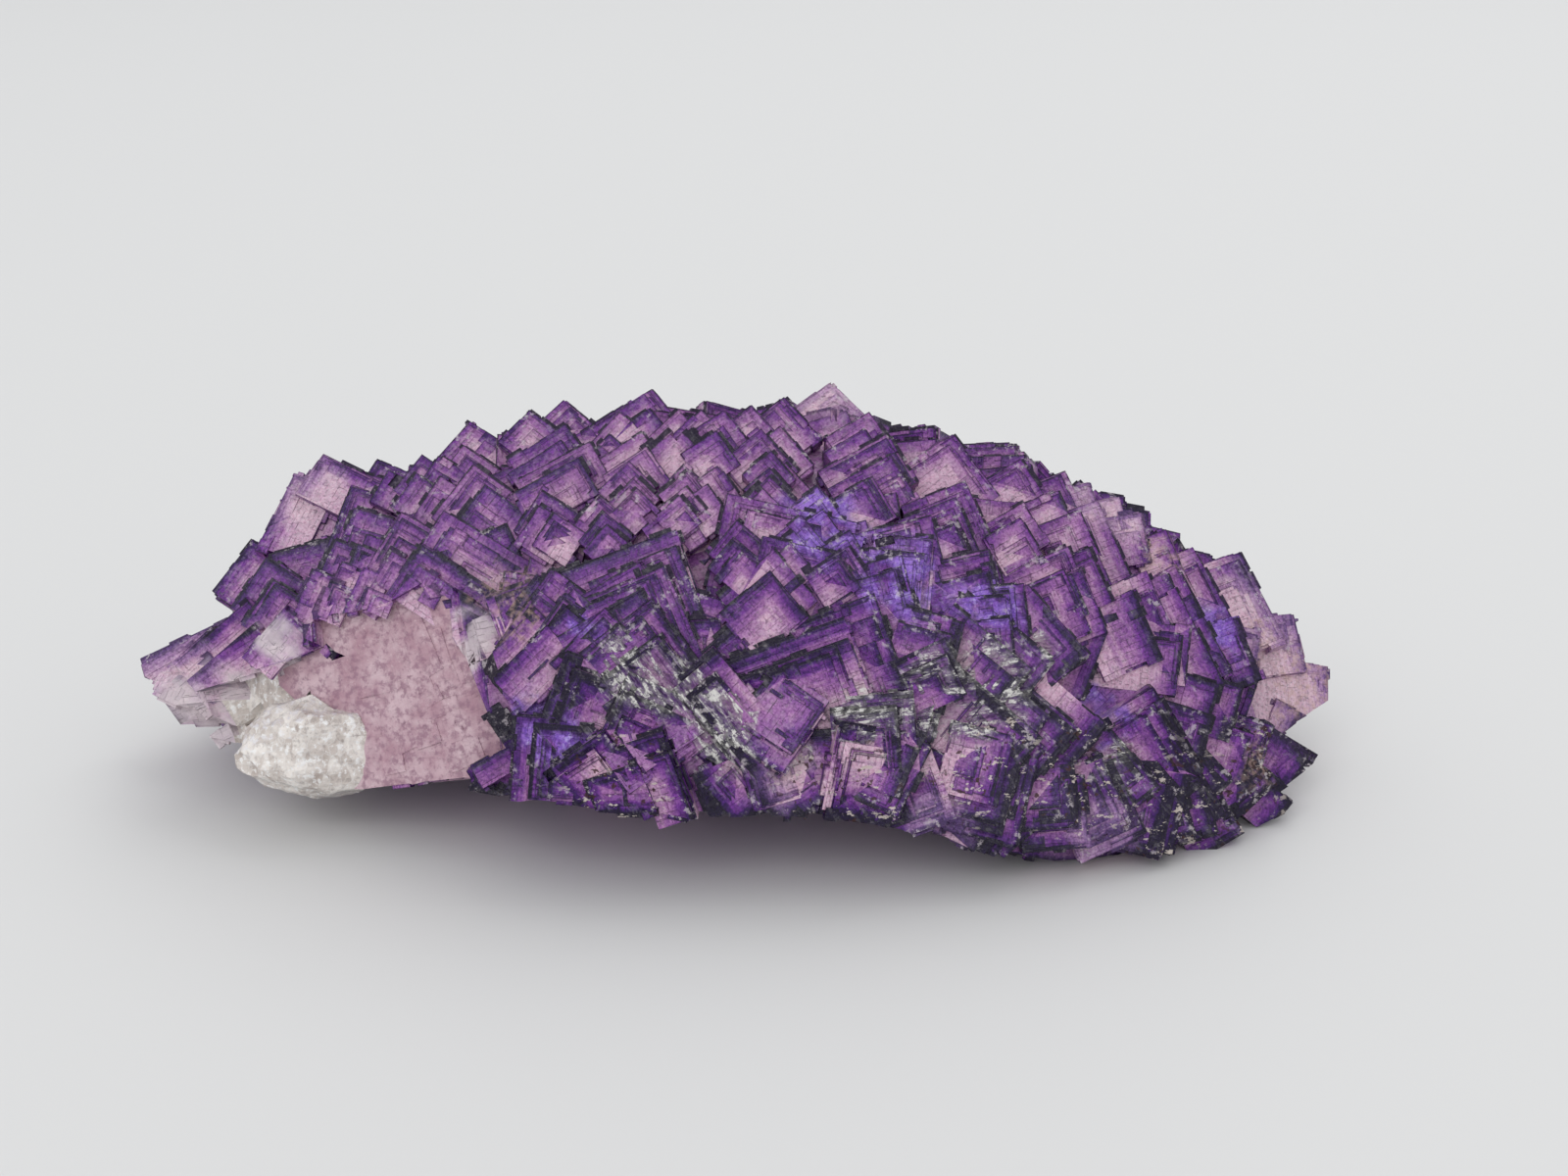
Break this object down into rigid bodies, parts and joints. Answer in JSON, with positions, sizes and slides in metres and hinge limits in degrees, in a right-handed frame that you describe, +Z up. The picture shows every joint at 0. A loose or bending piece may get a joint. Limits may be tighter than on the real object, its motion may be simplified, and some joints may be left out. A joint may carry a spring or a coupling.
{
  "type": "fluorite cluster",
  "caption": "Domed cluster of stepped, cube-shaped purple fluorite crystals that fan out from the lower front, with a pale broken face at one end and a rough, arched underside.",
  "frame": {"origin": "middle of the footprint, on the surface that the cluster rests on", "axes": "+X along the length, away from the pale broken end; the front that shows the fanned crystals faces -Y; +Z up"},
  "size_m": [0.2368, 0.1376, 0.0747],
  "materials": {
    "fluorite": "glassy to silky crystal faces, deep violet along the edges and paler inside, dusted grey and white low on the front"
  },
  "bodies": {
    "root": {"fluorite_cluster": "fluorite"}
  },
  "joints": []
}
